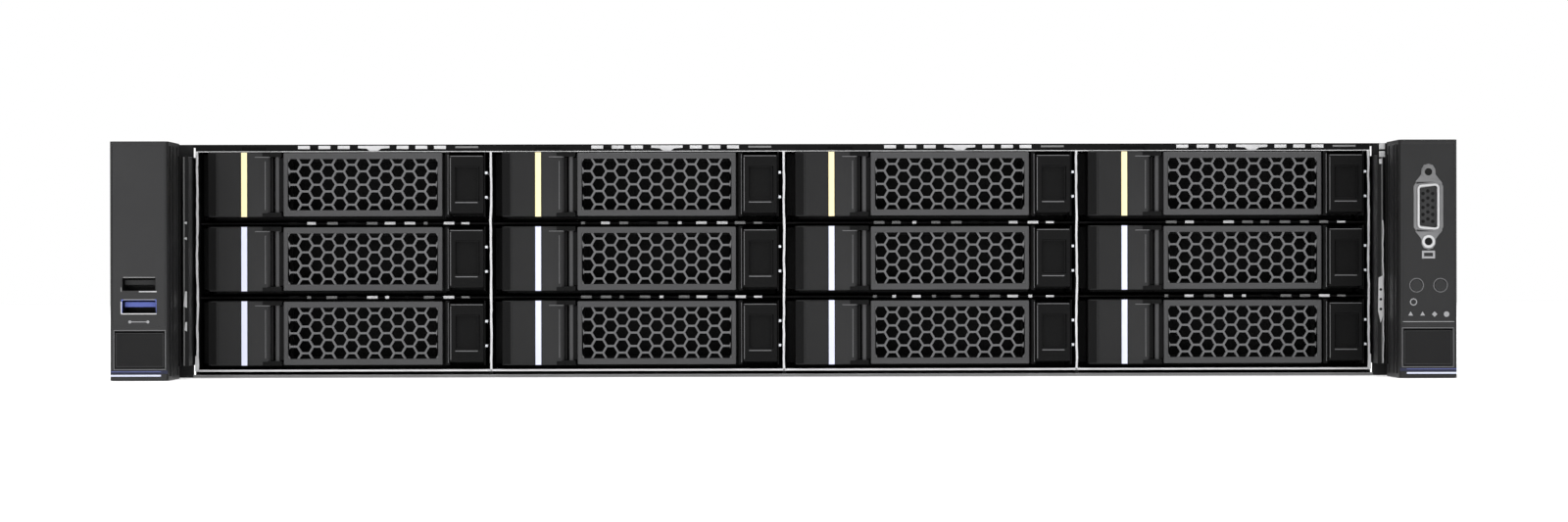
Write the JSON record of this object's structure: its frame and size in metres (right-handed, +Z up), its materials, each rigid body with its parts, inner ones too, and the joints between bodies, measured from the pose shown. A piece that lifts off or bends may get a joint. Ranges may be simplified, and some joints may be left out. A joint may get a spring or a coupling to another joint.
{
  "type": "rack server",
  "caption": "Low, deep rack-mount server: drive carriers with honeycomb levers between two ears, sliding top cover, fans, main board and two plug-in power supplies.",
  "frame": {"origin": "where the rack's mounting plane, the centre line and the underside meet", "axes": "+X right seen from the front, -Y front, +Y along the depth to the rear, +Z up"},
  "size_m": [0.4826, 0.7944, 0.0856],
  "materials": {
    "chassis_steel": "zinc-plated sheet, satin",
    "cage_steel": "black powder coat with bare cut edges",
    "ear_plastic": "fine matt texture, charcoal",
    "flap_plastic": "matt charcoal",
    "socket_metal": "nickel plate",
    "bezel_plastic": "fine matt texture, charcoal",
    "lever_plastic": "satin dark grey",
    "button_plastic": "matt black",
    "push_plastic": "satin light grey",
    "board": "solder mask",
    "duct_plastic": "matt black",
    "fan_plastic": "matt black",
    "riser_steel": "zinc-plated sheet, satin",
    "cover_steel": "zinc grey, satin",
    "latch_plastic": "matt blue touch colour",
    "psu_steel": "zinc-plated sheet",
    "release_plastic": "matt, hot-swap touch colour"
  },
  "bodies": {
    "chassis": {"chassis_tray": "chassis_steel", "drive_cage": "cage_steel", "drive_backplane": "board", "ear_left": "ear_plastic", "ear_right": "ear_plastic", "ear_hardware": "socket_metal", "fan_cage": "fan_plastic", "mainboard": "board", "air_duct": "duct_plastic", "riser_cages": "riser_steel"},
    "top_cover": {"top_cover": "cover_steel"},
    "cover_latch": {"cover_latch": "latch_plastic"},
    "ear_latch_left": {"ear_latch_left": "flap_plastic"},
    "ear_latch_right": {"ear_latch_right": "flap_plastic"},
    "power_button": {"power_button": "push_plastic"},
    "locator_button": {"locator_button": "push_plastic"},
    "fan_rotor_1": {"fan_rotor_1": "fan_plastic"},
    "fan_rotor_2": {"fan_rotor_2": "fan_plastic"},
    "fan_rotor_3": {"fan_rotor_3": "fan_plastic"},
    "fan_rotor_4": {"fan_rotor_4": "fan_plastic"},
    "psu_1": {"psu_1": "psu_steel"},
    "psu_latch_1": {"psu_latch_1": "release_plastic"},
    "psu_2": {"psu_2": "psu_steel"},
    "psu_latch_2": {"psu_latch_2": "release_plastic"},
    "carrier_01": {"carrier_01": "bezel_plastic"},
    "lever_01": {"lever_01": "lever_plastic"},
    "carrier_button_01": {"carrier_button_01": "button_plastic"},
    "carrier_02": {"carrier_02": "bezel_plastic"},
    "lever_02": {"lever_02": "lever_plastic"},
    "carrier_button_02": {"carrier_button_02": "button_plastic"},
    "carrier_03": {"carrier_03": "bezel_plastic"},
    "lever_03": {"lever_03": "lever_plastic"},
    "carrier_button_03": {"carrier_button_03": "button_plastic"},
    "carrier_04": {"carrier_04": "bezel_plastic"},
    "lever_04": {"lever_04": "lever_plastic"},
    "carrier_button_04": {"carrier_button_04": "button_plastic"},
    "carrier_05": {"carrier_05": "bezel_plastic"},
    "lever_05": {"lever_05": "lever_plastic"},
    "carrier_button_05": {"carrier_button_05": "button_plastic"},
    "carrier_06": {"carrier_06": "bezel_plastic"},
    "lever_06": {"lever_06": "lever_plastic"},
    "carrier_button_06": {"carrier_button_06": "button_plastic"},
    "carrier_07": {"carrier_07": "bezel_plastic"},
    "lever_07": {"lever_07": "lever_plastic"},
    "carrier_button_07": {"carrier_button_07": "button_plastic"},
    "carrier_08": {"carrier_08": "bezel_plastic"},
    "lever_08": {"lever_08": "lever_plastic"},
    "carrier_button_08": {"carrier_button_08": "button_plastic"},
    "carrier_09": {"carrier_09": "bezel_plastic"},
    "lever_09": {"lever_09": "lever_plastic"},
    "carrier_button_09": {"carrier_button_09": "button_plastic"},
    "carrier_10": {"carrier_10": "bezel_plastic"},
    "lever_10": {"lever_10": "lever_plastic"},
    "carrier_button_10": {"carrier_button_10": "button_plastic"},
    "carrier_11": {"carrier_11": "bezel_plastic"},
    "lever_11": {"lever_11": "lever_plastic"},
    "carrier_button_11": {"carrier_button_11": "button_plastic"},
    "carrier_12": {"carrier_12": "bezel_plastic"},
    "lever_12": {"lever_12": "lever_plastic"},
    "carrier_button_12": {"carrier_button_12": "button_plastic"}
  },
  "joints": [
    {"name": "cover_slide", "type": "slide", "parent": "chassis", "child": "top_cover", "axis": [0, 1, 0], "range_m": [0, 0.014]},
    {"name": "cover_latch_lift", "type": "hinge", "parent": "top_cover", "child": "cover_latch", "pos_m": [0, 0.378, 0.0816], "axis": [1, 0, 0], "range_deg": [0, 75.01]},
    {"name": "ear_latch_left_lift", "type": "hinge", "parent": "chassis", "child": "ear_latch_left", "pos_m": [-0.2306, -0.0329, 0.0164], "axis": [-1, 0, 0], "range_deg": [0, 75]},
    {"name": "ear_latch_right_lift", "type": "hinge", "parent": "chassis", "child": "ear_latch_right", "pos_m": [0.2306, -0.0329, 0.0164], "axis": [-1, 0, 0], "range_deg": [0, 75]},
    {"name": "power_press", "type": "slide", "parent": "chassis", "child": "power_button", "axis": [0, 1, 0], "range_m": [0, 0.001], "stiffness_N_per_m": 600, "springref_m": -0.0005},
    {"name": "locator_press", "type": "slide", "parent": "chassis", "child": "locator_button", "axis": [0, 1, 0], "range_m": [0, 0.001], "stiffness_N_per_m": 600, "springref_m": -0.0005},
    {"name": "psu_1_slide", "type": "slide", "parent": "chassis", "child": "psu_1", "axis": [0, 1, 0], "range_m": [0, 0.18]},
    {"name": "psu_2_slide", "type": "slide", "parent": "chassis", "child": "psu_2", "axis": [0, 1, 0], "range_m": [0, 0.18]},
    {"name": "psu_latch_1_press", "type": "hinge", "parent": "psu_1", "child": "psu_latch_1", "pos_m": [0.2135, 0.7378, 0.0215], "axis": [0, 0, 1], "range_deg": [0, 14], "stiffness_Nm_per_rad": 0.15, "springref_deg": -2.86},
    {"name": "psu_latch_2_press", "type": "hinge", "parent": "psu_2", "child": "psu_latch_2", "pos_m": [0.2135, 0.7378, 0.0621], "axis": [0, 0, 1], "range_deg": [0, 14], "stiffness_Nm_per_rad": 0.15, "springref_deg": -2.86},
    {"name": "fan_1_spin", "type": "hinge", "parent": "chassis", "child": "fan_rotor_1", "pos_m": [-0.156, 0.235, 0.0425], "axis": [0, 1, 0], "continuous": true},
    {"name": "fan_2_spin", "type": "hinge", "parent": "chassis", "child": "fan_rotor_2", "pos_m": [-0.052, 0.235, 0.0425], "axis": [0, 1, 0], "continuous": true},
    {"name": "fan_3_spin", "type": "hinge", "parent": "chassis", "child": "fan_rotor_3", "pos_m": [0.052, 0.235, 0.0425], "axis": [0, 1, 0], "continuous": true},
    {"name": "fan_4_spin", "type": "hinge", "parent": "chassis", "child": "fan_rotor_4", "pos_m": [0.156, 0.235, 0.0425], "axis": [0, 1, 0], "continuous": true},
    {"name": "carrier_01_slide", "type": "slide", "parent": "chassis", "child": "carrier_01", "axis": [0, -1, 0], "range_m": [0, 0.17]},
    {"name": "lever_01_swing", "type": "hinge", "parent": "carrier_01", "child": "lever_01", "pos_m": [-0.1859, -0.0026, 0.07082], "axis": [0, 0, -1], "range_deg": [0, 60]},
    {"name": "carrier_button_01_press", "type": "slide", "parent": "carrier_01", "child": "carrier_button_01", "axis": [0, 1, 0], "range_m": [0, 0.002], "stiffness_N_per_m": 500, "springref_m": -0.0005},
    {"name": "carrier_02_slide", "type": "slide", "parent": "chassis", "child": "carrier_02", "axis": [0, -1, 0], "range_m": [0, 0.17]},
    {"name": "lever_02_swing", "type": "hinge", "parent": "carrier_02", "child": "lever_02", "pos_m": [-0.0782, -0.0026, 0.07082], "axis": [0, 0, -1], "range_deg": [0, 60]},
    {"name": "carrier_button_02_press", "type": "slide", "parent": "carrier_02", "child": "carrier_button_02", "axis": [0, 1, 0], "range_m": [0, 0.002], "stiffness_N_per_m": 500, "springref_m": -0.0005},
    {"name": "carrier_03_slide", "type": "slide", "parent": "chassis", "child": "carrier_03", "axis": [0, -1, 0], "range_m": [0, 0.17]},
    {"name": "lever_03_swing", "type": "hinge", "parent": "carrier_03", "child": "lever_03", "pos_m": [0.0295, -0.0026, 0.07082], "axis": [0, 0, -1], "range_deg": [0, 60]},
    {"name": "carrier_button_03_press", "type": "slide", "parent": "carrier_03", "child": "carrier_button_03", "axis": [0, 1, 0], "range_m": [0, 0.002], "stiffness_N_per_m": 500, "springref_m": -0.0005},
    {"name": "carrier_04_slide", "type": "slide", "parent": "chassis", "child": "carrier_04", "axis": [0, -1, 0], "range_m": [0, 0.17]},
    {"name": "lever_04_swing", "type": "hinge", "parent": "carrier_04", "child": "lever_04", "pos_m": [0.1372, -0.0026, 0.07082], "axis": [0, 0, -1], "range_deg": [0, 60]},
    {"name": "carrier_button_04_press", "type": "slide", "parent": "carrier_04", "child": "carrier_button_04", "axis": [0, 1, 0], "range_m": [0, 0.002], "stiffness_N_per_m": 500, "springref_m": -0.0005},
    {"name": "carrier_05_slide", "type": "slide", "parent": "chassis", "child": "carrier_05", "axis": [0, -1, 0], "range_m": [0, 0.17]},
    {"name": "lever_05_swing", "type": "hinge", "parent": "carrier_05", "child": "lever_05", "pos_m": [-0.1859, -0.0026, 0.04356], "axis": [0, 0, -1], "range_deg": [0, 60]},
    {"name": "carrier_button_05_press", "type": "slide", "parent": "carrier_05", "child": "carrier_button_05", "axis": [0, 1, 0], "range_m": [0, 0.002], "stiffness_N_per_m": 500, "springref_m": -0.0005},
    {"name": "carrier_06_slide", "type": "slide", "parent": "chassis", "child": "carrier_06", "axis": [0, -1, 0], "range_m": [0, 0.17]},
    {"name": "lever_06_swing", "type": "hinge", "parent": "carrier_06", "child": "lever_06", "pos_m": [-0.0782, -0.0026, 0.04356], "axis": [0, 0, -1], "range_deg": [0, 60]},
    {"name": "carrier_button_06_press", "type": "slide", "parent": "carrier_06", "child": "carrier_button_06", "axis": [0, 1, 0], "range_m": [0, 0.002], "stiffness_N_per_m": 500, "springref_m": -0.0005},
    {"name": "carrier_07_slide", "type": "slide", "parent": "chassis", "child": "carrier_07", "axis": [0, -1, 0], "range_m": [0, 0.17]},
    {"name": "lever_07_swing", "type": "hinge", "parent": "carrier_07", "child": "lever_07", "pos_m": [0.0295, -0.0026, 0.04356], "axis": [0, 0, -1], "range_deg": [0, 60]},
    {"name": "carrier_button_07_press", "type": "slide", "parent": "carrier_07", "child": "carrier_button_07", "axis": [0, 1, 0], "range_m": [0, 0.002], "stiffness_N_per_m": 500, "springref_m": -0.0005},
    {"name": "carrier_08_slide", "type": "slide", "parent": "chassis", "child": "carrier_08", "axis": [0, -1, 0], "range_m": [0, 0.17]},
    {"name": "lever_08_swing", "type": "hinge", "parent": "carrier_08", "child": "lever_08", "pos_m": [0.1372, -0.0026, 0.04356], "axis": [0, 0, -1], "range_deg": [0, 60]},
    {"name": "carrier_button_08_press", "type": "slide", "parent": "carrier_08", "child": "carrier_button_08", "axis": [0, 1, 0], "range_m": [0, 0.002], "stiffness_N_per_m": 500, "springref_m": -0.0005},
    {"name": "carrier_09_slide", "type": "slide", "parent": "chassis", "child": "carrier_09", "axis": [0, -1, 0], "range_m": [0, 0.17]},
    {"name": "lever_09_swing", "type": "hinge", "parent": "carrier_09", "child": "lever_09", "pos_m": [-0.1859, -0.0026, 0.0163], "axis": [0, 0, -1], "range_deg": [0, 60]},
    {"name": "carrier_button_09_press", "type": "slide", "parent": "carrier_09", "child": "carrier_button_09", "axis": [0, 1, 0], "range_m": [0, 0.002], "stiffness_N_per_m": 500, "springref_m": -0.0005},
    {"name": "carrier_10_slide", "type": "slide", "parent": "chassis", "child": "carrier_10", "axis": [0, -1, 0], "range_m": [0, 0.17]},
    {"name": "lever_10_swing", "type": "hinge", "parent": "carrier_10", "child": "lever_10", "pos_m": [-0.0782, -0.0026, 0.0163], "axis": [0, 0, -1], "range_deg": [0, 60]},
    {"name": "carrier_button_10_press", "type": "slide", "parent": "carrier_10", "child": "carrier_button_10", "axis": [0, 1, 0], "range_m": [0, 0.002], "stiffness_N_per_m": 500, "springref_m": -0.0005},
    {"name": "carrier_11_slide", "type": "slide", "parent": "chassis", "child": "carrier_11", "axis": [0, -1, 0], "range_m": [0, 0.17]},
    {"name": "lever_11_swing", "type": "hinge", "parent": "carrier_11", "child": "lever_11", "pos_m": [0.0295, -0.0026, 0.0163], "axis": [0, 0, -1], "range_deg": [0, 60]},
    {"name": "carrier_button_11_press", "type": "slide", "parent": "carrier_11", "child": "carrier_button_11", "axis": [0, 1, 0], "range_m": [0, 0.002], "stiffness_N_per_m": 500, "springref_m": -0.0005},
    {"name": "carrier_12_slide", "type": "slide", "parent": "chassis", "child": "carrier_12", "axis": [0, -1, 0], "range_m": [0, 0.17]},
    {"name": "lever_12_swing", "type": "hinge", "parent": "carrier_12", "child": "lever_12", "pos_m": [0.1372, -0.0026, 0.0163], "axis": [0, 0, -1], "range_deg": [0, 60]},
    {"name": "carrier_button_12_press", "type": "slide", "parent": "carrier_12", "child": "carrier_button_12", "axis": [0, 1, 0], "range_m": [0, 0.002], "stiffness_N_per_m": 500, "springref_m": -0.0005}
  ],
  "couplings": [
    {"joint": "cover_latch_lift", "follows": "cover_slide", "rad_per_m": 93.5}
  ]
}
